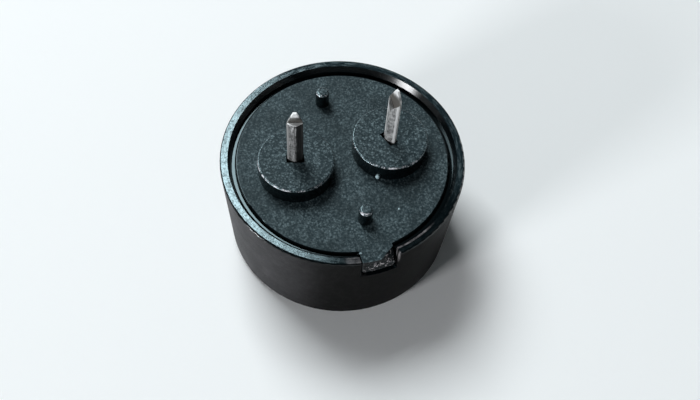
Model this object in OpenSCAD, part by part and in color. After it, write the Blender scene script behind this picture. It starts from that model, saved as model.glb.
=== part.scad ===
/* [Case] */
// Outside diameter of the case at its rim
case_d = 12.6; // [12.4:0.1:14]
// Height of the rim over the sound face
case_h = 6.2; // [5.6:0.1:7.5]
// Draw taper of the outside, per side, from the rim to the sound face
case_taper = 0.25; // [0.1:0.05:0.35]
// Radius of the edge round the sound face
face_edge_r = 0.4; // [0.2:0.05:0.6]
// Thickness of the sound face
face_t = 0.8; // [0.6:0.1:1.2]
// Diameter of the sound port in the middle of the sound face
port_d = 2; // [1:0.1:3]
// Depth of the cavity between the sound face and the diaphragm
cavity_h = 1.4; // [0.8:0.1:1.8]
// Width of the rim's top, from the outside to the bevel
rim_w = 0.4; // [0.3:0.02:0.5]
// Radius of the rim's outer edge
rim_edge_r = 0.1; // [0.05:0.01:0.2]
// Width of the bevel inside the rim
bevel_w = 0.18; // [0.1:0.02:0.3]
// Depth of the bevel inside the rim
bevel_h = 0.27; // [0.2:0.01:0.36]
// Width of the flat lip between the bevel and the base plate
lip_w = 0.16; // [0.1:0.02:0.24]
// Depth of the lip below the rim
lip_drop = 0.46; // [0.4:0.02:0.6]
// Width of the ledge that carries the base plate
ledge_w = 0.41; // [0.3:0.01:0.6]

/* [Base plate] */
// Thickness of the base plate
plate_t = 1.1; // [0.8:0.05:1.3]
// Depth of the base plate's top below the rim
plate_drop = 0.28; // [0.1:0.02:0.5]
// Radius of the base plate's upper edge
plate_edge_r = 0.12; // [0.06:0.01:0.2]
// Diameter of each boss round a pin
boss_d = 3.9; // [3:0.05:4.4]
// Height of the bosses and nubs over the base plate
boss_h = 0.98; // [0.5:0.02:1.5]
// Radius of each boss's upper edge
boss_edge_r = 0.1; // [0.04:0.01:0.15]
// Diameter of each levelling nub
nub_d = 0.72; // [0.5:0.02:1]
// Radius of each nub's upper edge
nub_edge_r = 0.16; // [0.08:0.01:0.2]
// Distance between the two nubs
nub_spacing = 7.5; // [6.8:0.1:8.4]
// Width of the key tab that lies in the rim's notch
tab_w = 1.7; // [1.2:0.1:2.2]
// Distance of the key tab's end inside the case's outside
tab_recess = 0.2; // [0.1:0.02:0.3]
// Place across the key tab where its broken corner starts
break_x = 0.05; // [-0.3:0.05:0.4]
// Turn of the break from the key tab's end, in degrees
break_turn = 35; // [20:1:50]
// Slope of the break from upright, in degrees
break_slope = 33; // [20:1:45]

/* [Terminals] */
// Distance between the two pins
pin_pitch = 5; // [4.6:0.1:5.4]
// Width of each folded pin
pin_w = 0.8; // [0.6:0.02:1]
// Thickness of the sheet that each terminal is stamped from
sheet_t = 0.12; // [0.1:0.01:0.16]
// Length of the left pin over its boss
left_pin_h = 3.6; // [2.5:0.05:5]
// Length of the right pin over its boss
right_pin_h = 3.8; // [2.5:0.05:5]
// Offset of the left pin from the middle of its boss, across the line of the pins
left_pin_offset = 0.12; // [0:0.02:0.2]
// Length of the point at the end of each pin
point_h = 0.75; // [0.4:0.05:1]
// Width of the flat left at the end of the point
point_w = 0.16; // [0.1:0.02:0.3]
// Slope of the folded-over leaves up to their seam, in degrees
leaf_slope = 28; // [15:1:35]
// Distance of the folded-over leaves' ends below the end of the left pin
left_leaf_drop = 0.65; // [0.2:0.05:0.75]
// Depth of the opening that the pointed blank leaves at the seam of the right pin
right_open_h = 1.35; // [1.1:0.05:1.8]
// Turn of the left pin about its own length, in degrees
left_turn = -15; // [-30:1:0]
// Turn of the right pin about its own length, in degrees
right_turn = -69; // [-80:1:-60]
// Distance from the right pin to its contact with the ceramic
right_reach = 2.2; // [1.8:0.05:3]
// Length of the flat contact foot of each terminal
foot_l = 0.4; // [0.3:0.05:0.5]
// Inside radius of the bends in each terminal
bend_r = 0.2; // [0.1:0.05:0.3]

/* [Diaphragm] */
// Thickness of the brass disc
brass_t = 0.1; // [0.06:0.01:0.2]
// Width of the bare brass round the ceramic disc
bare_w = 1.6; // [1.3:0.05:2]
// Thickness of the ceramic disc
ceramic_t = 0.12; // [0.08:0.01:0.25]
// Width of the case's seat under the brass disc's edge
seat_w = 0.45; // [0.3:0.05:0.5]
// Width of the sealant over the brass disc's edge
sealant_w = 0.3; // [0.2:0.05:0.4]
// Height of the sealant up the case's wall
sealant_h = 0.5; // [0.3:0.05:0.8]

/* [Fits] */
// Clearance round the base plate in the case
plate_gap = 0.02; // [0.01:0.01:0.05]
// Clearance round the brass disc in the case
brass_gap = 0.15; // [0.1:0.01:0.2]
// Clearance each side of the key tab in the notch
tab_gap = 0.12; // [0.05:0.01:0.2]
// Clearance under the key tab in the notch
tab_gap_under = 0.08; // [0.05:0.01:0.2]
// Clearance round each pin where its slot holds it
slot_fit = 0.01; // [0.005:0.005:0.02]
// Clearance round each pin at the mouth of its slot
slot_gap = 0.05; // [0.03:0.01:0.1]
// Depth of the wide mouth of each slot
slot_mouth_h = 0.6; // [0.3:0.05:0.8]

/* [Hidden] */
$fn = 96;
// Overrun of a cut past the surface that it breaks through
over = 1;
// Depth by which a folded-over leaf starts inside its fold
leaf_sink = 0.005;
// Steps in the arc of a bend
bend_steps = 6;

case_r = case_d / 2;
foot_r = case_r - case_taper;
lip_r = case_r - rim_w - bevel_w;
bore_r = lip_r - lip_w;
lower_r = bore_r - ledge_w;
brass_r = lower_r - brass_gap;
cavity_r = brass_r - seat_w;
ceramic_r = brass_r - bare_w;

plate_top = case_h - plate_drop;
plate_z = plate_top - plate_t;
plate_r = bore_r - plate_gap;
board_z = plate_top + boss_h;
notch_w = tab_w + 2 * tab_gap;

seat_z = face_t + cavity_h;
brass_z = seat_z + brass_t;
ceramic_z = brass_z + ceramic_t;

pin_t = 2 * sheet_t;
seam_w = sheet_t / 2;
fold_x = (pin_w - pin_t) / 2;
left_pin = [-pin_pitch / 2, left_pin_offset];
right_pin = [pin_pitch / 2, 0];
// Middle of the bare ring of brass between the ceramic and the sealant
bare_ring_r = (ceramic_r + brass_r - sealant_w) / 2;
// Distance along the left arm from its pin to the middle of that ring
left_along = left_pin * [-sin(left_turn), cos(left_turn)];
left_contact = sqrt(pow(left_along, 2) - left_pin * left_pin + pow(bare_ring_r, 2)) - left_along;

function unit(v) = v / norm(v);
function normal(v) = [-v.y, v.x];

// Points of the arc of radius r that rounds the corner b of the path a, b, c
function bend(a, b, c, r) =
    let (u = unit(a - b), v = unit(c - b), half = acos(u * v) / 2)
    let (centre = b + unit(u + v) * r / sin(half))
    let (from = b + u * r / tan(half) - centre, side = cross(u, v) > 0 ? -1 : 1)
    [for (i = [0:bend_steps])
        let (a = side * (180 - 2 * half) * i / bend_steps)
        centre + [from.x * cos(a) - from.y * sin(a), from.x * sin(a) + from.y * cos(a)]];

// Direction of the path p at its point i
function heading(p, i) = unit(p[min(i + 1, len(p) - 1)] - p[max(i - 1, 0)]);

// Outline of a strip of thickness t along the path p
function strip(p, t) = concat(
    [for (i = [0:len(p) - 1]) p[i] + normal(heading(p, i)) * t / 2],
    [for (i = [len(p) - 1:-1:0]) p[i] - normal(heading(p, i)) * t / 2]
);

// Stands children at the left pin, turned as it is
module at_left_pin() {
    translate(left_pin) rotate(left_turn) children();
}

// Stands children at the right pin, turned as it is
module at_right_pin() {
    translate(right_pin) rotate(right_turn) children();
}

// Corner where a folded-over leaf leaves its fold, for a section grown by a clearance
function leaf_corner(gap) =
    [fold_x, 0] + (pin_t / 2 + gap - leaf_sink) * [sin(leaf_slope), -cos(leaf_slope)];

// Height of the seam's ridge over the middle of the sheet, for a section grown by a clearance
function ridge(gap) = leaf_corner(gap).x * tan(leaf_slope) - leaf_corner(gap).y;

// Section of a folded pin: a flat back, round folds at its narrow sides and two leaves that rise to a seam
module pin_section(gap = 0) {
    translate([-fold_x, 0]) square([2 * fold_x, pin_t / 2 + gap]);
    for (side = [-1, 1]) translate([side * fold_x, 0]) circle(pin_t / 2 + gap);
    polygon([
        [fold_x, 0],
        [-fold_x, 0],
        [-leaf_corner(gap).x, leaf_corner(gap).y],
        [0, -ridge(gap)],
        leaf_corner(gap)
    ]);
}

// Slot for one pin through the base plate and its boss
module pin_slot() {
    back = pin_t / 2 + slot_gap;
    front = ridge(0) + slot_gap;
    translate([0, 0, plate_z - over]) linear_extrude(boss_h + plate_t + 2 * over) pin_section(slot_fit);
    translate([-pin_w / 2 - slot_gap, -front, board_z - slot_mouth_h])
        cube([pin_w + 2 * slot_gap, front + back, slot_mouth_h + over]);
}

// Half section of the case, from its axis outwards
module case_section() {
    difference() {
        union() {
            polygon([
                [0, 0],
                [foot_r - face_edge_r, 0],
                [foot_r, face_edge_r],
                [case_r, case_h - rim_edge_r],
                [case_r - rim_edge_r, case_h],
                [0, case_h]
            ]);
            translate([foot_r - face_edge_r, face_edge_r]) circle(face_edge_r);
            translate([case_r - rim_edge_r, case_h - rim_edge_r]) circle(rim_edge_r);
        }
        translate([-over, -over]) square([over + port_d / 2, case_h]);
        translate([-over, face_t]) square([over + cavity_r, case_h]);
        translate([-over, seat_z]) square([over + lower_r, case_h]);
        translate([-over, plate_z]) square([over + bore_r, case_h]);
        polygon([
            [lip_r, case_h - lip_drop],
            [lip_r, case_h - bevel_h],
            [lip_r + bevel_w, case_h],
            [lip_r + bevel_w, case_h + over],
            [0, case_h + over],
            [0, case_h - lip_drop]
        ]);
    }
}

module case() {
    color([0.11, 0.12, 0.13]) difference() {
        rotate_extrude() case_section();
        translate([-notch_w / 2, -case_r - over, plate_z - tab_gap_under])
            cube([notch_w, case_r + over - (bore_r + lower_r) / 2, case_h]);
    }
}

// Disc with its upper edge rounded
module round_edged_disc(r, h, edge_r) {
    rotate_extrude() {
        square([r - edge_r, h]);
        square([r, h - edge_r]);
        translate([r - edge_r, h - edge_r]) circle(edge_r);
    }
}

// Key tab on the base plate's edge, with the corner that broke off with the moulding gate
module key_tab() {
    tab_end = case_r - tab_recess;
    difference() {
        intersection() {
            cylinder(r = tab_end, h = plate_t);
            translate([-tab_w / 2, -case_r, 0]) cube([tab_w, case_r, plate_t]);
        }
        translate([break_x, -tab_end, plate_t]) rotate([-break_slope, 0, break_turn])
            translate([-tab_w, -tab_w, -2 * plate_t]) cube([2 * tab_w, tab_w, 3 * plate_t]);
    }
}

module base_plate() {
    color([0.17, 0.2, 0.22]) difference() {
        union() {
            translate([0, 0, plate_z]) {
                round_edged_disc(plate_r, plate_t, plate_edge_r);
                key_tab();
            }
            for (side = [-1, 1]) {
                translate([side * pin_pitch / 2, 0, plate_z])
                    round_edged_disc(boss_d / 2, plate_t + boss_h, boss_edge_r);
                translate([0, side * nub_spacing / 2, plate_z])
                    round_edged_disc(nub_d / 2, plate_t + boss_h, nub_edge_r);
            }
        }
        at_left_pin() pin_slot();
        at_right_pin() pin_slot();
    }
}

// Outline of a pin's blank from the front, up to its pointed end at the height top
module pointed_outline(top) {
    polygon([
        [-pin_w / 2, 0],
        [pin_w / 2, 0],
        [pin_w / 2, top - point_h],
        [point_w / 2, top],
        [-point_w / 2, top],
        [-pin_w / 2, top - point_h]
    ]);
}

// Pin of one terminal, h high over the boss: a pointed blank, folded from both sides to a seam
module pin(h) {
    top = board_z + h;
    intersection() {
        translate([0, 0, plate_z - sheet_t]) linear_extrude(top - plate_z + sheet_t) difference() {
            pin_section();
            translate([0, -ridge(0)]) rotate(45) square(seam_w, center = true);
        }
        rotate([90, 0, 0]) linear_extrude(pin_w, center = true) pointed_outline(top);
    }
}

// Left pin, with the ends of its folded-over leaves cut level
module left_pin_blank() {
    difference() {
        pin(left_pin_h);
        translate([-pin_w, -pin_w, board_z + left_pin_h - left_leaf_drop])
            cube([2 * pin_w, pin_w, left_leaf_drop + over]);
    }
}

// Right pin, with the opening that the sloping ends of its folded-over leaves leave
module right_pin_blank() {
    top = board_z + right_pin_h;
    difference() {
        pin(right_pin_h);
        rotate([90, 0, 0]) linear_extrude(pin_w) polygon([
            [0, top - right_open_h],
            [pin_w / 2, top - point_h],
            [pin_w / 2, top + over],
            [-pin_w / 2, top + over],
            [-pin_w / 2, top - point_h]
        ]);
    }
}

// Strip that runs under the base plate from the pin and bends down to a foot on the surface at foot_z
module contact_arm(reach, foot_z) {
    top = plate_z - sheet_t / 2;
    low = foot_z + sheet_t / 2;
    r = bend_r + sheet_t / 2;
    ends = [[-pin_t / 2, top], [pin_t + r, top], [reach - foot_l, low], [reach, low]];
    path = concat(
        [ends[0]],
        bend(ends[0], ends[1], ends[2], r),
        bend(ends[1], ends[2], ends[3], r),
        [ends[3]]
    );
    rotate([90, 0, 90]) linear_extrude(pin_w, center = true) polygon(strip(path, sheet_t));
}

module left_terminal() {
    color([0.72, 0.72, 0.7]) at_left_pin() {
        left_pin_blank();
        contact_arm(left_contact + foot_l / 2, brass_z);
    }
}

module right_terminal() {
    color([0.72, 0.72, 0.7]) at_right_pin() {
        right_pin_blank();
        mirror([0, 1, 0]) contact_arm(right_reach, ceramic_z);
    }
}

module diaphragm_plate() {
    color([0.78, 0.6, 0.27]) translate([0, 0, seat_z]) cylinder(r = brass_r, h = brass_t);
}

module piezo_ceramic() {
    color([0.85, 0.84, 0.8]) translate([0, 0, brass_z]) cylinder(r = ceramic_r, h = ceramic_t);
}

module edge_sealant() {
    color([0.9, 0.9, 0.88]) rotate_extrude() polygon([
        [brass_r, seat_z],
        [lower_r, seat_z],
        [lower_r, brass_z + sealant_h],
        [brass_r - sealant_w, brass_z],
        [brass_r, brass_z]
    ]);
}

case();
base_plate();
left_terminal();
right_terminal();
diaphragm_plate();
piezo_ceramic();
edge_sealant();
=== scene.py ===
"""Looks of the piezo buzzer: finishes, small moulding traces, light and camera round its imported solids."""

import math

import bpy
from mathutils import Matrix, Vector, noise


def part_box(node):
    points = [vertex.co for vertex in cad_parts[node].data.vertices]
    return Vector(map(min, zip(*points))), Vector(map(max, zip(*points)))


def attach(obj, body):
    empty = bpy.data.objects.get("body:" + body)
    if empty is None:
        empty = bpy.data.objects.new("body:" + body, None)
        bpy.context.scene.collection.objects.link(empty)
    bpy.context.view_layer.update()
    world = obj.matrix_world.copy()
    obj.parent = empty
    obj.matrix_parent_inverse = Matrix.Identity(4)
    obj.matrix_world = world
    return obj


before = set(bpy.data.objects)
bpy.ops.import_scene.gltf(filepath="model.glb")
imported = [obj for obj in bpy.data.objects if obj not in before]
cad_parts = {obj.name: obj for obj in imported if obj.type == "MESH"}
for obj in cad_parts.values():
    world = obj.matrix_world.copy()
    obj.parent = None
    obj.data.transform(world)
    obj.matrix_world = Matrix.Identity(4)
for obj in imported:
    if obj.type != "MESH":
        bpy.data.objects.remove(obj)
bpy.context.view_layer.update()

MM = 0.001
SCENE = bpy.context.scene

# Sizes of the solids that the looks follow, in millimetres
CASE_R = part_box("case")[1].x / MM
CASE_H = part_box("case")[1].z / MM
BOARD_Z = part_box("base_plate")[1].z / MM
LEFT_PIN_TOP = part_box("left_terminal")[1].z / MM
RIGHT_PIN_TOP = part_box("right_terminal")[1].z / MM
RIM_W = 0.4
PLATE_DROP = 0.28
PLATE_T = 1.1
TAB_W = 1.7
TAB_GAP = 0.12
TAB_RECESS = 0.2
BREAK_X = 0.05
BREAK_TURN = math.radians(35)
BREAK_SLOPE = math.radians(33)
PIN_PITCH = 5.0
LEFT_PIN_OFFSET = 0.12
LEFT_PIN_TURN = math.radians(-15)
RIGHT_PIN_TURN = math.radians(-69)

# Places that follow from these sizes, in millimetres
RIM_INNER_R = CASE_R - RIM_W
PLATE_TOP = CASE_H - PLATE_DROP
TAB_END_R = CASE_R - TAB_RECESS
NOTCH_HALF = TAB_W / 2 + TAB_GAP
LEFT_PIN_AT = Vector((-PIN_PITCH / 2, LEFT_PIN_OFFSET, 0))
RIGHT_PIN_AT = Vector((PIN_PITCH / 2, 0, 0))

# Camera at the photo's place, in millimetres; its focal length is in pixels of the photo
CAMERA_AT = (-9.032, -24.306, 44.689)
CAMERA_AZIMUTH = math.radians(-21.61)
CAMERA_ELEVATION = math.radians(58.80)
CAMERA_ROLL = math.radians(4.95)
FOCAL_PX = 902.87
PHOTO_WIDTH_PX = 700
SENSOR_WIDTH = 36.0
CLIP_START = 0.002
CLIP_END = 5


def add_camera():
    """Adds the camera at the photo's place, turned as the photo is."""
    level = Vector((math.cos(CAMERA_AZIMUTH), math.sin(CAMERA_AZIMUTH), 0))
    behind = Vector((math.sin(CAMERA_AZIMUTH), -math.cos(CAMERA_AZIMUTH), 0))
    back = math.cos(CAMERA_ELEVATION) * behind + Vector((0, 0, math.sin(CAMERA_ELEVATION)))
    rise = back.cross(level)
    right = math.cos(CAMERA_ROLL) * level + math.sin(CAMERA_ROLL) * rise
    up = math.cos(CAMERA_ROLL) * rise - math.sin(CAMERA_ROLL) * level
    data = bpy.data.cameras.new("camera")
    data.sensor_width = SENSOR_WIDTH
    data.lens = SENSOR_WIDTH * FOCAL_PX / PHOTO_WIDTH_PX
    data.clip_start = CLIP_START
    data.clip_end = CLIP_END
    camera = bpy.data.objects.new("camera", data)
    SCENE.collection.objects.link(camera)
    turn = Matrix((right, up, back)).transposed().to_4x4()
    camera.matrix_world = Matrix.Translation(Vector(CAMERA_AT) * MM) @ turn
    SCENE.camera = camera


class Shader:
    """Node tree of one material, with short calls for the nodes used here."""

    def __init__(self, name):
        self.material = bpy.data.materials.new(name)
        self.material.use_nodes = True
        self.tree = self.material.node_tree
        self.tree.nodes.clear()
        self.output = self.node("ShaderNodeOutputMaterial")

    def node(self, kind, inputs=None, **settings):
        """Adds a node; inputs are values or outputs of other nodes."""
        made = self.tree.nodes.new(kind)
        for key, value in settings.items():
            setattr(made, key, value)
        for key, value in (inputs or {}).items():
            self.set(made.inputs[key], value)
        return made

    def set(self, socket, value):
        """Links an output to a socket, or gives it a plain value."""
        if isinstance(value, bpy.types.NodeSocket):
            self.tree.links.new(value, socket)
        else:
            socket.default_value = value

    def place(self):
        """Place in the row frame, in metres."""
        return self.node("ShaderNodeTexCoord").outputs["Object"]

    def axis(self, vector, name):
        """One of a vector's three numbers."""
        return self.node("ShaderNodeSeparateXYZ", {0: vector}).outputs[name]

    def normal(self, kind):
        """Way that the surface faces; the kind is Normal, which is smooth, or True Normal."""
        return self.node("ShaderNodeNewGeometry").outputs[kind]

    def math(self, operation, a, b=0.0, c=0.0):
        """Result of one step of arithmetic."""
        return self.node("ShaderNodeMath", {0: a, 1: b, 2: c}, operation=operation).outputs[0]

    def both(self, *masks):
        """Product of masks."""
        result = masks[0]
        for mask in masks[1:]:
            result = self.math("MULTIPLY", result, mask)
        return result

    def either(self, a, b):
        """Larger of two masks."""
        return self.math("MAXIMUM", a, b)

    def ramp(self, value, low, high, at_low=0.0, at_high=1.0):
        """Smooth step of a value from at_low to at_high."""
        inputs = {"Value": value, "From Min": low, "From Max": high, "To Min": at_low, "To Max": at_high}
        return self.node("ShaderNodeMapRange", inputs, interpolation_type="SMOOTHSTEP").outputs["Result"]

    def pick(self, mask, off, on):
        """Number that is off where a mask is zero and on where it is one."""
        return self.ramp(mask, 0.0, 1.0, off, on)

    def between(self, value, low, high, fade):
        """Mask that is one from low to high and fades out on both sides."""
        return self.both(self.ramp(value, low - fade, low), self.ramp(value, high, high + fade, 1.0, 0.0))

    def noise(self, vector, size, detail, roughness, distortion=0.0):
        """Noise whose grains are about size across, in metres."""
        inputs = {
            "Vector": vector,
            "Scale": 1 / size,
            "Detail": detail,
            "Roughness": roughness,
            "Distortion": distortion,
        }
        return self.node("ShaderNodeTexNoise", inputs).outputs["Fac"]

    def dust(self, vector, spacing, size, share):
        """Mask of sparse specks: a share of the cells of a pattern have one in their middle."""
        cells = self.node("ShaderNodeTexVoronoi", {"Vector": vector, "Scale": 1 / spacing})
        near = self.ramp(cells.outputs["Distance"], size / spacing / 2, size / spacing, 1.0, 0.0)
        return self.both(near, self.math("LESS_THAN", self.axis(cells.outputs["Color"], "X"), share))

    def pebbles(self, vector, size):
        """Rounded grains about size across, of random height each."""
        cells = self.node("ShaderNodeTexVoronoi", {"Vector": vector, "Scale": 1 / size})
        dome = self.ramp(cells.outputs["Distance"], 0.1, 0.75, 1.0, 0.0)
        return self.both(dome, self.axis(cells.outputs["Color"], "X"))

    def stretch(self, vector, scale):
        """Vector with each of its numbers scaled."""
        return self.node("ShaderNodeVectorMath", {0: vector, 1: scale}, operation="MULTIPLY").outputs[0]

    def length(self, vector):
        """Length of a vector."""
        return self.node("ShaderNodeVectorMath", {0: vector}, operation="LENGTH").outputs["Value"]

    def dot(self, vector, way):
        """How far a vector reaches along a way."""
        made = self.node("ShaderNodeVectorMath", {0: vector, 1: way}, operation="DOT_PRODUCT")
        return made.outputs["Value"]

    def mix(self, share, a, b):
        """Colour between a and b; inputs 6 and 7 and output 2 are this node's colours."""
        return self.node("ShaderNodeMix", {0: share, 6: a, 7: b}, data_type="RGBA").outputs[2]

    def bump(self, height, strength, distance):
        """Normal of a surface with small relief."""
        inputs = {"Height": height, "Strength": strength, "Distance": distance}
        return self.node("ShaderNodeBump", inputs).outputs["Normal"]

    def surface(self, **inputs):
        """Principled surface; an underscore in a name stands for a space."""
        made = self.node("ShaderNodeBsdfPrincipled", {k.replace("_", " "): v for k, v in inputs.items()})
        self.set(self.output.inputs["Surface"], made.outputs[0])
        return self.material


# Tints of greys, and the two colours of brass
NEUTRAL = (1.0, 1.0, 1.0)
COOL = (0.45, 0.95, 1.2)
PALE = (0.75, 1.0, 1.08)
SHEEN = (0.7, 0.93, 1.0)
BRONZE = (1.05, 1.0, 0.92)
WARM = (1.0, 0.975, 1.035)
BLUSH = (1.0, 0.93, 0.96)
BRASS_DARK = (0.6, 0.42, 0.18, 1.0)
BRASS_LIGHT = (0.78, 0.58, 0.28, 1.0)


def grey(level, tint=NEUTRAL):
    """Colour of a level, with a tint."""
    return (level * tint[0], level * tint[1], level * tint[2], 1.0)


def angles(*degrees):
    """Angles in radians."""
    return [math.radians(d) for d in degrees]


def paint(name, material):
    """Gives a CAD node its material."""
    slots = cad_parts[name].data.materials
    slots.clear()
    slots.append(material)


# Stretches of the rim, as angles round the case: start, end and fade. Along the first the inner edge gets a
# painted highlight, along the second the top gets painted shade, and the third is a paler patch at the
# notch's left end.
HIGHLIT_EDGE = angles(-82, -66, 9)
SHADED_STRETCH = angles(-100, -48, 23)
PALE_END = angles(-104, -98, 3)

# Side of the case whose wall gets a paler film: partly dust, partly painted light where the left lamp falls
DUST_AND_LIGHT_SIDE = math.radians(-170)
DUST_AND_LIGHT_WAY = (math.cos(DUST_AND_LIGHT_SIDE), math.sin(DUST_AND_LIGHT_SIDE), 0)

# Painted highlight at the notch's right end, in millimetres: band beside the end, reach inwards and reach
# down
END_HIGHLIGHT_FROM = NOTCH_HALF - 0.05
END_HIGHLIGHT_TO = NOTCH_HALF + 0.05
END_HIGHLIGHT_FADE = 0.03
END_HIGHLIGHT_IN = 0.2
END_HIGHLIGHT_IN_FADE = 0.15
END_HIGHLIGHT_DROP = 0.3
END_HIGHLIGHT_DROP_FADE = 0.7

# Borders of the rim's zones, in millimetres out from its inner edge: its top, its inner edge with a painted
# highlight, and the wall
TOP_FADE_FROM = -0.06
TOP_FADE_TO = -0.02
HIGHLIGHT_FROM = -0.02
HIGHLIGHT_TO = 0.05
HIGHLIGHT_FADE = 0.04
WALL_FADE_FROM = 0.02
WALL_FADE_TO = 0.08

# Radius at which the rim's streaks are unrolled, in millimetres: small, so that they are long round the case
STREAK_R = 1.2


def from_rim(offset):
    """Radius in metres, so many millimetres out from the rim's inner edge."""
    return (RIM_INNER_R + offset) * MM


def wall_colour(s, place, radius, mottle):
    """Colour of the case's outer wall: near black, with a paler film on one side that is partly dust and
    partly painted light, and a few specks.
    """
    facing = s.math("DIVIDE", s.dot(place, DUST_AND_LIGHT_WAY), radius)
    cloud = s.noise(place, size=1.5 * MM, detail=4.0, roughness=0.6)
    patchy = s.math("MULTIPLY_ADD", mottle, 0.6, cloud)
    bare = s.mix(s.ramp(mottle, 0.4, 0.8), grey(0.004), grey(0.012))
    # Dust and painted light: the wall is paler on the side that faces the left lamp.
    film = s.mix(s.ramp(patchy, 0.4, 1.2), grey(0.028, WARM), grey(0.062, WARM))
    side = s.mix(s.ramp(facing, 0.5, 1.05), bare, film)
    specks = s.dust(place, spacing=0.9 * MM, size=0.035 * MM, share=0.25)
    return s.mix(specks, side, grey(0.12, WARM))


def notch_highlights_and_pale_end(s, place, radius, turn, rim, mottle):
    """Mask of the pale marks round the rim's notch: painted highlights on its right inner edge and its right
    end, and a paler patch on its left end.
    """
    inner_edge = s.between(radius, from_rim(HIGHLIGHT_FROM), from_rim(HIGHLIGHT_TO), HIGHLIGHT_FADE * MM)
    edge = s.both(inner_edge, s.between(turn, *HIGHLIT_EDGE))
    left_end = s.both(rim, s.between(turn, *PALE_END))
    beside = s.between(s.axis(place, "X"), END_HIGHLIGHT_FROM * MM, END_HIGHLIGHT_TO * MM, END_HIGHLIGHT_FADE * MM)
    outer = END_HIGHLIGHT_IN - CASE_R
    near_outside = s.ramp(s.axis(place, "Y"), outer * MM, (outer + END_HIGHLIGHT_IN_FADE) * MM, 1.0, 0.0)
    upper = CASE_H - END_HIGHLIGHT_DROP
    near_top = s.ramp(s.axis(place, "Z"), (upper - END_HIGHLIGHT_DROP_FADE) * MM, upper * MM)
    right_end = s.both(beside, near_outside, near_top)
    ends = s.math("MULTIPLY_ADD", left_end, 0.3, s.math("MULTIPLY", right_end, 0.7))
    return s.both(s.either(edge, ends), s.ramp(mottle, 0.35, 0.6, 0.15, 1.0))


def case_plastic():
    """Black plastic of the case: satin outer wall with a paler film of dust and painted light on one side,
    streaky rim with painted shade along a stretch and painted highlights round its notch, polished bevel and
    lip.
    """
    s = Shader("case_plastic")
    place = s.place()
    radius = s.length(s.stretch(place, (1, 1, 0)))
    turn = s.math("ARCTAN2", s.axis(place, "Y"), s.axis(place, "X"))
    up = s.axis(s.normal("True Normal"), "Z")
    outside = s.ramp(radius, from_rim(WALL_FADE_FROM), from_rim(WALL_FADE_TO))
    wall = s.both(s.ramp(up, 0.15, 0.45, 1.0, 0.0), outside)
    on_rim = s.ramp(radius, from_rim(TOP_FADE_FROM), from_rim(TOP_FADE_TO))
    rim = s.both(s.ramp(up, 0.9, 0.99), on_rim)
    along = s.math("MULTIPLY", turn, STREAK_R * MM)
    unrolled = s.node("ShaderNodeCombineXYZ", {0: along, 1: radius, 2: 0.0}).outputs[0]
    streak = s.noise(unrolled, size=0.16 * MM, detail=4.0, roughness=0.7, distortion=0.5)
    grain = s.noise(place, size=0.07 * MM, detail=3.0, roughness=0.6)
    mottle = s.noise(place, size=0.3 * MM, detail=4.0, roughness=0.75)
    fleck = s.noise(place, size=0.15 * MM, detail=4.0, roughness=0.8)
    # Painted shade: the rim's top is made darker, and less glossy, along a stretch at the front.
    dark = s.between(turn, *SHADED_STRETCH)
    top = s.mix(s.ramp(streak, 0.45, 0.75), grey(0.016, COOL), grey(0.075, PALE))
    top = s.mix(dark, top, grey(0.004, COOL))
    # Paler tone of the marks round the notch: painted highlights on the right inner edge and the right end,
    # and a paler patch on the left end.
    paler = s.mix(s.ramp(streak, 0.35, 0.65), grey(0.1, BLUSH), grey(0.34, BLUSH))
    colour = s.mix(wall, grey(0.0025, COOL), wall_colour(s, place, radius, mottle))
    colour = s.mix(rim, colour, top)
    colour = s.mix(notch_highlights_and_pale_end(s, place, radius, turn, rim, mottle), colour, paler)
    rough = s.pick(wall, s.ramp(up, 0.8, 0.95, 0.2, 0.12), 0.42)
    rim_rough = s.ramp(streak, 0.35, 0.65, 0.08, 0.26)
    rim_gloss = s.both(s.ramp(fleck, 0.36, 0.56, 0.35, 1.0), s.pick(dark, 1.0, 0.15))
    return s.surface(
        Base_Color=colour,
        Roughness=s.pick(rim, rough, rim_rough),
        Specular_IOR_Level=s.pick(wall, s.pick(rim, 0.42, rim_gloss), 0.5),
        IOR=s.pick(wall, 1.5, 1.09),
        Specular_Tint=s.mix(s.ramp(up, 0.7, 0.9), grey(1.0), grey(1.0, SHEEN)),
        Normal=s.bump(grain, s.pick(wall, s.pick(rim, 0.05, 0.2), 0.6), distance=0.015 * MM),
    )


# Rubbed zones in millimetres: the bosses and nubs from their tops down, and the key tab from the rim inwards
BOSS_TOP_DROP = 0.2
BOSS_TOP_FADE = 0.2
TAB_RUB_Y = -RIM_INNER_R
TAB_RUB_FADE = 0.6

# Way that the side of the bosses' and nubs' edges with painted glints faces: front and left
SPARK_WAY = (-0.5, -0.87, 0)


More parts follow.
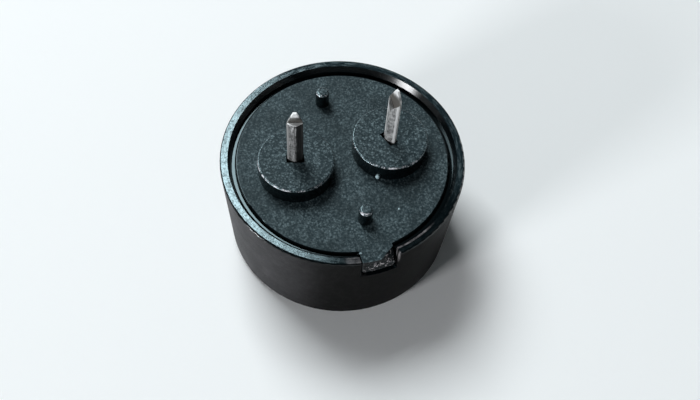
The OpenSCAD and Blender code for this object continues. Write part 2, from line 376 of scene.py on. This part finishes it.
def plate_plastic():
    """Black plastic of the base plate: spark-eroded grain on its flat tops, smooth walls, paler tops and
    edges from wear on the bosses, nubs and tab, and painted glints on the edges that face front and left.
    """
    s = Shader("plate_plastic")
    place = s.place()
    normal = s.normal("Normal")
    up = s.axis(normal, "Z")
    boss_top = BOARD_Z - BOSS_TOP_DROP
    boss = s.ramp(s.axis(place, "Z"), (boss_top - BOSS_TOP_FADE) * MM, boss_top * MM)
    level = s.ramp(up, 0.97, 0.995)
    edge = s.both(boss, s.ramp(up, 0.3, 0.6))
    mottle = s.noise(place, size=0.12 * MM, detail=3.0, roughness=0.75)
    cloud = s.noise(place, size=1.6 * MM, detail=4.0, roughness=0.65)
    sparkle = s.noise(place, size=0.2 * MM, detail=3.0, roughness=0.7)
    grain = s.math("MULTIPLY_ADD", s.pebbles(place, size=0.11 * MM), 0.3, mottle)
    tab = s.ramp(s.axis(place, "Y"), TAB_RUB_Y * MM, (TAB_RUB_Y + TAB_RUB_FADE) * MM, 1.0, 0.0)
    paler = s.either(boss, tab)
    speck = s.ramp(grain, s.pick(paler, 0.4, 0.46), 0.88)
    base = s.mix(cloud, grey(0.005, COOL), grey(0.022, COOL))
    tone = s.mix(s.ramp(cloud, 0.38, 0.62), grey(0.08, PALE), grey(0.165, PALE))
    top = s.mix(speck, base, s.mix(paler, tone, grey(0.19, PALE)))
    colour = s.mix(s.either(level, edge), grey(0.002, COOL), top)
    # Painted glints: pale flecks on the bosses' and nubs' rounded edges that face front and left, towards
    # the left lamp.
    facing = s.ramp(s.dot(normal, SPARK_WAY), 0.1, 0.5)
    spark = s.both(edge, s.math("SUBTRACT", 1.0, level), facing, s.ramp(sparkle, 0.48, 0.6))
    return s.surface(
        Base_Color=s.mix(spark, colour, grey(0.7, WARM)),
        Roughness=s.pick(level, s.pick(edge, 0.16, 0.2), 0.5),
        Specular_IOR_Level=s.pick(level, s.pick(edge, 0.5, 1.0), 0.22),
        Specular_Tint=grey(1.0, SHEEN),
        Normal=s.bump(grain, s.pick(level, s.pick(edge, 0.0, 0.5), 0.7), distance=0.04 * MM),
    )


# Zones of a pin, in millimetres: half width of its open seam, drops under its end, its folds, which carry a
# painted highlight, and the fade of the painted shade on one leaf
OPEN_HALF = 0.02
OPEN_DROP = 0.6
POINT_DROP = 0.4
END_DROP = 0.2
FOLD_FROM = 0.26
FOLD_TO = 0.34
LEAF_SHADE_FADE = 0.12


def tin_plate(name, pin, turn, top, dull, bright, fold_highlight, leaf_shade):
    """Tin-plated bronze sheet of one terminal, with painted highlights on its folds and end, painted shade
    on one leaf, and bare bronze in its open end.
    """
    s = Shader(name)
    place = s.place()
    along = Vector((math.cos(turn), math.sin(turn), 0))
    across = Vector((-math.sin(turn), math.cos(turn), 0))
    aside = s.math("SUBTRACT", s.dot(place, along), along.dot(pin) * MM)
    depth = s.math("SUBTRACT", s.dot(place, across), across.dot(pin) * MM)
    inside = s.math("LESS_THAN", s.math("ABSOLUTE", depth), OPEN_HALF * MM)
    height = s.axis(place, "Z")
    bare = s.both(inside, s.ramp(height, (top - OPEN_DROP) * MM, (top - END_DROP) * MM, 1.0, 0.0))
    point = s.ramp(height, (top - POINT_DROP) * MM, (top - END_DROP) * MM)
    up = s.axis(s.normal("True Normal"), "Z")
    end = s.either(point, s.ramp(up, 0.5, 0.7))
    fold = s.either(s.ramp(s.math("ABSOLUTE", aside), FOLD_FROM * MM, FOLD_TO * MM), end)
    drawn = s.noise(s.stretch(place, (1, 1, 0.12)), size=0.07 * MM, detail=3.0, roughness=0.6)
    cloud = s.noise(place, size=0.2 * MM, detail=3.0, roughness=0.65)
    # Painted shade: one leaf of the sheet is darkened, by the share given, away from its end.
    shaded_leaf = s.both(s.ramp(aside, 0.0, LEAF_SHADE_FADE * MM), s.math("SUBTRACT", 1.0, end), leaf_shade)
    colour = s.mix(s.ramp(cloud, 0.35, 0.65), grey(dull), grey(bright))
    colour = s.mix(s.ramp(drawn, 0.52, 0.72), colour, grey(0.7))
    # Painted highlight: the folds are paler, and the end and the faces that look up are paler still.
    colour = s.mix(fold, colour, s.mix(end, grey(fold_highlight), grey(0.8)))
    colour = s.mix(shaded_leaf, colour, grey(0.025))
    colour = s.mix(bare, colour, s.mix(cloud, grey(0.09, BRONZE), grey(0.2, BRONZE)))
    return s.surface(
        Base_Color=colour,
        Metallic=s.pick(fold, 1.0, 0.6),
        Roughness=s.ramp(cloud, 0.3, 0.7, 0.62, 0.78),
        Normal=s.bump(drawn, strength=0.3, distance=0.01 * MM),
    )


def torn_plastic():
    """Torn black plastic with pale stress flecks."""
    s = Shader("torn_plastic")
    place = s.place()
    crumb = s.noise(place, size=0.09 * MM, detail=3.0, roughness=0.65)
    fleck = s.noise(place, size=0.2 * MM, detail=3.0, roughness=0.7)
    colour = s.mix(s.ramp(crumb, 0.4, 0.7), grey(0.003, COOL), grey(0.025, PALE))
    colour = s.mix(s.ramp(fleck, 0.52, 0.72), colour, grey(0.75, BLUSH))
    return s.surface(
        Base_Color=colour,
        Roughness=s.ramp(crumb, 0.3, 0.7, 0.3, 0.6),
        IOR=1.25,
        Normal=s.bump(crumb, strength=0.6, distance=0.03 * MM),
    )


def flash_plastic():
    """Thin pale flash of plastic and dust."""
    s = Shader("flash_plastic")
    cloud = s.noise(s.place(), size=0.06 * MM, detail=2.0, roughness=0.6)
    return s.surface(Base_Color=s.mix(cloud, grey(0.3, PALE), grey(0.7, PALE)), Roughness=0.5)


def plain(name, dark, light, size, metallic, roughness):
    """Finish of a piece inside the case: one colour with a little cloud in it."""
    s = Shader(name)
    cloud = s.noise(s.place(), size, detail=3.0, roughness=0.6)
    return s.surface(
        Base_Color=s.mix(cloud, dark, light),
        Metallic=metallic,
        Roughness=s.ramp(cloud, 0.2, 0.8, roughness - 0.06, roughness + 0.06),
    )


def stage_material():
    """Pale floor."""
    s = Shader("stage_white")
    diffuse = s.node("ShaderNodeBsdfDiffuse", {"Color": grey(0.95)}).outputs[0]
    s.set(s.output.inputs["Surface"], diffuse)
    return s.material


# Floor that curves up into a low backdrop, in metres, and the steps that it is made of
STAGE_R = 0.5
STAGE_BEND = 0.15
STAGE_RISE = 0.12
STAGE_TURNS = 96
STAGE_STEPS = 12


def stage_section():
    """Radius and height of each ring of the floor, from its flat middle outwards."""
    flat_r = STAGE_R - STAGE_BEND
    rings = [(flat_r, 0.0)]
    for i in range(1, STAGE_STEPS + 1):
        a = math.radians(90 * i / STAGE_STEPS)
        rings.append((flat_r + STAGE_BEND * math.sin(a), STAGE_RISE * (1 - math.cos(a))))
    return rings


def add_stage():
    """Adds the floor, with a low backdrop all round."""
    verts = [(0.0, 0.0, 0.0)]
    faces = []
    for k, (r, z) in enumerate(stage_section()):
        high = 1 + k * STAGE_TURNS
        low = high - STAGE_TURNS
        for j in range(STAGE_TURNS):
            a = 2 * math.pi * j / STAGE_TURNS
            n = (j + 1) % STAGE_TURNS
            verts.append((r * math.cos(a), r * math.sin(a), z))
            if k == 0:
                faces.append((0, high + j, high + n))
            else:
                faces.append((low + j, high + j, high + n, low + n))
    mesh = bpy.data.meshes.new("floor")
    mesh.from_pydata(verts, [], faces)
    mesh.polygons.foreach_set("use_smooth", [True] * len(mesh.polygons))
    mesh.materials.append(stage_material())
    floor = bpy.data.objects.new("floor", mesh)
    SCENE.collection.objects.link(floor)


# Distance of the lamps and the place that they look at, in metres; level and colour of the world's light
LAMP_DISTANCE = 0.4
LAMP_TARGET = Vector((0, 0, 5 * MM))
WORLD_LEVEL = 0.05
WORLD_COLOUR = (0.85, 0.95, 1.0, 1.0)


def add_lamp(name, direction, size, power, colour):
    """Soft lamp that looks at the buzzer from a direction; size is its width and height."""
    data = bpy.data.lights.new(name, "AREA")
    data.shape = "RECTANGLE"
    data.size = size[0]
    data.size_y = size[1]
    data.energy = power
    data.color = colour
    lamp = bpy.data.objects.new(name, data)
    SCENE.collection.objects.link(lamp)
    away = Vector(direction).normalized()
    lamp.location = LAMP_TARGET + away * LAMP_DISTANCE
    lamp.rotation_mode = "QUATERNION"
    lamp.rotation_quaternion = (-away).to_track_quat("-Z", "Y")


def add_light():
    """Adds a soft key lamp behind, a smaller lamp at the left and a faint even light."""
    world = bpy.data.worlds.new("world")
    world.use_nodes = True
    background = world.node_tree.nodes["Background"]
    background.inputs["Color"].default_value = WORLD_COLOUR
    background.inputs["Strength"].default_value = WORLD_LEVEL
    SCENE.world = world
    add_lamp("key", direction=(-0.15, 0.595, 0.79), size=(0.2, 0.2), power=1.6, colour=(0.92, 0.98, 1.0))
    add_lamp("left", direction=(-0.925, -0.32, 0.21), size=(0.09, 0.1), power=1.25, colour=(0.96, 0.98, 1.0))


def add_piece(name, verts, faces, material):
    """Adds a piece that rides on the buzzer, from points in millimetres."""
    mesh = bpy.data.meshes.new(name)
    mesh.from_pydata([Vector(v) * MM for v in verts], [], faces)
    mesh.materials.append(material)
    piece = bpy.data.objects.new(name, mesh)
    SCENE.collection.objects.link(piece)
    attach(piece, "root")
    return piece


# Torn stub of the moulding gate on the key tab's end, in millimetres, with its margins inside that end
STUB_SIDE_MARGIN = 0.05
STUB_LOW_MARGIN = 0.08
STUB_HIGH_MARGIN = 0.04
STUB_HALF = TAB_W / 2 - STUB_SIDE_MARGIN
STUB_LOW = PLATE_TOP - PLATE_T + STUB_LOW_MARGIN
STUB_HIGH = PLATE_TOP - STUB_HIGH_MARGIN
STUB_RISE = 0.1
STUB_ROOT = 0.05
STUB_COLUMNS = 60
STUB_ROWS = 36

# How steeply the stub rises from its sides and its ends, and the noise of its crumbs
SIDE_STEEPNESS = 8
END_STEEPNESS = 5
CRUMBS_PER_MM = 5
CRUMB_LAYER = 3.0
CRUMB_SMOOTHNESS = 0.8
CRUMB_LACUNARITY = 2.0
CRUMB_OCTAVES = 3


def tab_end(x, z):
    """Place along Y of the key tab's end, with its broken corner."""
    whole = -math.sqrt(TAB_END_R ** 2 - x ** 2)
    across = math.sin(BREAK_TURN) * math.cos(BREAK_SLOPE) * (x - BREAK_X)
    down = math.sin(BREAK_SLOPE) * (z - PLATE_TOP)
    broken = -TAB_END_R + (across + down) / (math.cos(BREAK_TURN) * math.cos(BREAK_SLOPE))
    return max(whole, broken)


def stub_rise(u, v, x, z):
    """Height of the torn face over the tab's end; u and v are shares of its width and height."""
    sides = min(SIDE_STEEPNESS * u, SIDE_STEEPNESS * (1 - u))
    ends = min(END_STEEPNESS * v, END_STEEPNESS * (1 - v))
    at = Vector((x, z, CRUMB_LAYER)) * CRUMBS_PER_MM
    crumb = 0.5 + 0.5 * noise.fractal(at, CRUMB_SMOOTHNESS, CRUMB_LACUNARITY, CRUMB_OCTAVES)
    return min(1.0, sides, ends) * STUB_RISE * min(1.0, max(0.0, crumb)) ** 2


def add_gate_vestige(material):
    """Torn stub of the moulding gate: a rough front, a back in the key tab and a wall between them."""
    front = []
    back = []
    for j in range(STUB_ROWS + 1):
        v = j / STUB_ROWS
        z = STUB_LOW + (STUB_HIGH - STUB_LOW) * v
        for i in range(STUB_COLUMNS + 1):
            u = i / STUB_COLUMNS
            x = -STUB_HALF + 2 * STUB_HALF * u
            y = tab_end(x, z)
            front.append((x, y - stub_rise(u, v, x, z), z))
            back.append((x, y + STUB_ROOT, z))
    wide = STUB_COLUMNS + 1
    count = len(front)
    faces = []
    for j in range(STUB_ROWS):
        for i in range(STUB_COLUMNS):
            a = j * wide + i
            faces.append((a, a + 1, a + 1 + wide, a + wide))
            faces.append((count + a, count + a + wide, count + a + 1 + wide, count + a + 1))
    ring = list(range(wide))
    ring += [j * wide + STUB_COLUMNS for j in range(1, STUB_ROWS + 1)]
    ring += [STUB_ROWS * wide + i for i in range(STUB_COLUMNS - 1, -1, -1)]
    ring += [j * wide for j in range(STUB_ROWS - 1, 0, -1)]
    for a, b in zip(ring, ring[1:] + ring[:1]):
        faces.append((a, count + a, count + b, b))
    add_piece("gate_vestige", front + back, faces, material)


# Grains of flash and dust, and a pale chip at the tab that carries a painted highlight, in millimetres:
# their places and half sizes
FLASH_AT = (1.36, -1.62, PLATE_TOP + 0.16)
FLASH_RADII = (0.11, 0.11, 0.17)
SPECK_AT = (1.82, -3.65, PLATE_TOP)
SPECK_RADII = (0.05, 0.05, 0.03)
HIGHLIT_CHIP_AT = (-0.8, -5.52, PLATE_TOP)
HIGHLIT_CHIP_RADII = (0.07, 0.06, 0.05)

# Steps of a grain's mesh, how high its lumps are and how close they stand
GRAIN_TURNS = 16
GRAIN_RINGS = 10
LUMP_HEIGHT = 0.25
LUMP_SCALE = 2


def add_grain(name, centre, radii, material):
    """Small lumpy grain, half sunk in the surface under it."""
    verts = []
    for k in range(1, GRAIN_RINGS):
        tilt = math.pi * k / GRAIN_RINGS
        for j in range(GRAIN_TURNS):
            a = 2 * math.pi * j / GRAIN_TURNS
            way = Vector((math.cos(a) * math.sin(tilt), math.sin(a) * math.sin(tilt), math.cos(tilt)))
            lump = 1 + LUMP_HEIGHT * noise.noise(way * LUMP_SCALE + Vector(centre))
            verts.append([c + r * w * lump for c, r, w in zip(centre, radii, way)])
    top = len(verts)
    bottom = top + 1
    verts.append((centre[0], centre[1], centre[2] + radii[2]))
    verts.append((centre[0], centre[1], centre[2] - radii[2]))
    last = (GRAIN_RINGS - 2) * GRAIN_TURNS
    faces = []
    for j in range(GRAIN_TURNS):
        n = (j + 1) % GRAIN_TURNS
        faces.append((top, j, n))
        for ring in range(0, last, GRAIN_TURNS):
            below = ring + GRAIN_TURNS
            faces.append((ring + j, below + j, below + n, ring + n))
        faces.append((bottom, last + n, last + j))
    piece = add_piece(name, verts, faces, material)
    piece.data.polygons.foreach_set("use_smooth", [True] * len(piece.data.polygons))


def add_traces():
    """Adds the small traces of the moulding and of wear on the base plate."""
    add_gate_vestige(torn_plastic())
    flash = flash_plastic()
    add_grain("flash_at_boss", FLASH_AT, FLASH_RADII, flash)
    add_grain("speck_on_plate", SPECK_AT, SPECK_RADII, flash)
    # Painted highlight: a pale chip stands for a bright spot at the tab's root.
    add_grain("highlit_chip_at_tab", HIGHLIT_CHIP_AT, HIGHLIT_CHIP_RADII, flash)


def paint_nodes():
    """Gives every CAD node its finish."""
    paint("case", case_plastic())
    paint("base_plate", plate_plastic())
    # The two terminals are one tin plate painted at two levels of light: darker tones on the left one as
    # painted shade, lighter tones on the right one as painted light.
    left = tin_plate(
        "left_tin_plate",
        pin=LEFT_PIN_AT,
        turn=LEFT_PIN_TURN,
        top=LEFT_PIN_TOP,
        dull=0.11,
        bright=0.34,
        fold_highlight=0.28,
        leaf_shade=0.92,
    )
    paint("left_terminal", left)
    right = tin_plate(
        "right_tin_plate",
        pin=RIGHT_PIN_AT,
        turn=RIGHT_PIN_TURN,
        top=RIGHT_PIN_TOP,
        dull=0.22,
        bright=0.6,
        fold_highlight=0.72,
        leaf_shade=0.0,
    )
    paint("right_terminal", right)
    brass = plain("diaphragm_brass", BRASS_DARK, BRASS_LIGHT, size=1 * MM, metallic=1.0, roughness=0.35)
    paint("diaphragm_plate", brass)
    ceramic = plain("piezo_ceramic", grey(0.62), grey(0.74), size=0.5 * MM, metallic=0.6, roughness=0.45)
    paint("piezo_ceramic", ceramic)
    sealant = plain("sealant", grey(0.7), grey(0.8), size=0.8 * MM, metallic=0.0, roughness=0.4)
    paint("edge_sealant", sealant)


add_camera()
paint_nodes()
add_traces()
add_stage()
add_light()

SCENE.view_settings.view_transform = "Standard"
